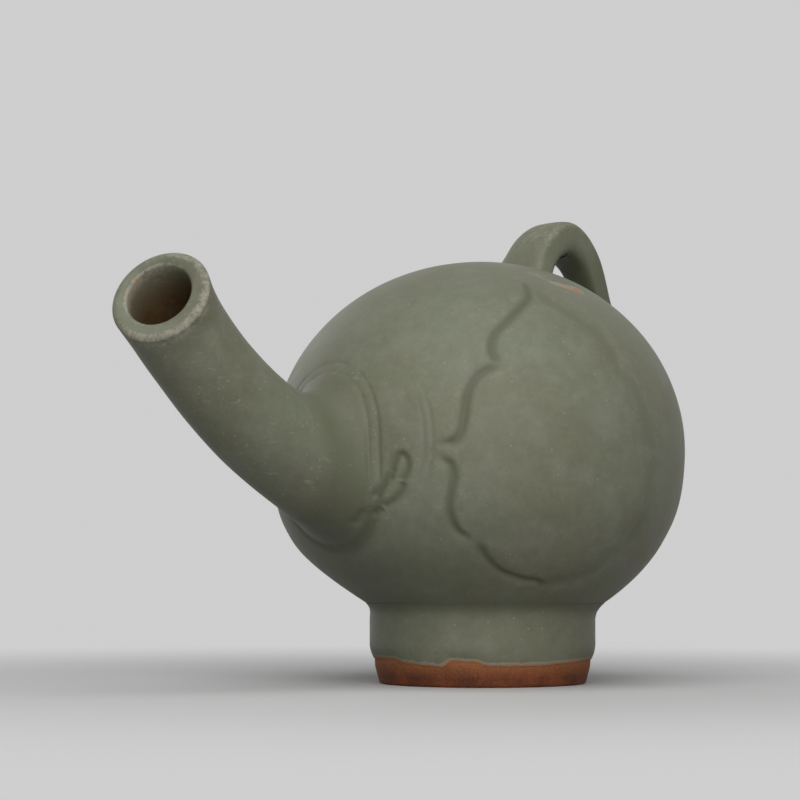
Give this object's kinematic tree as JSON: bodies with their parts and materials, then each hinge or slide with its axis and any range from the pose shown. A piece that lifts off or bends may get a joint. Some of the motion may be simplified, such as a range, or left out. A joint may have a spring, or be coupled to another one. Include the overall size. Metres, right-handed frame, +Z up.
{
  "type": "celadon ewer",
  "caption": "Round celadon stoneware ewer with a tall foot, a thick upcurved spout, carved cusped panels and a small strap loop on the shoulder.",
  "frame": {"origin": "on the surface the ewer stands on, under the middle of its bounding box; the foot's axis is at x = 0.0406 m", "axes": "-X along the spout, +Z up, and +Y across the pot"},
  "size_m": [0.2232, 0.142, 0.1652],
  "materials": {
    "celadon_glaze": "satin grey-green celadon glaze",
    "bare_clay": "bare iron-red stoneware at the foot's edge, glazed above"
  },
  "bodies": {
    "root": {"foot_ring": "bare_clay", "lower_bowl": "celadon_glaze", "upper_bowl": "celadon_glaze", "spout_tube": "celadon_glaze", "spout_collar": "celadon_glaze", "handle_loop": "celadon_glaze", "handle_front_root": "celadon_glaze", "handle_rear_root": "celadon_glaze"}
  },
  "joints": []
}
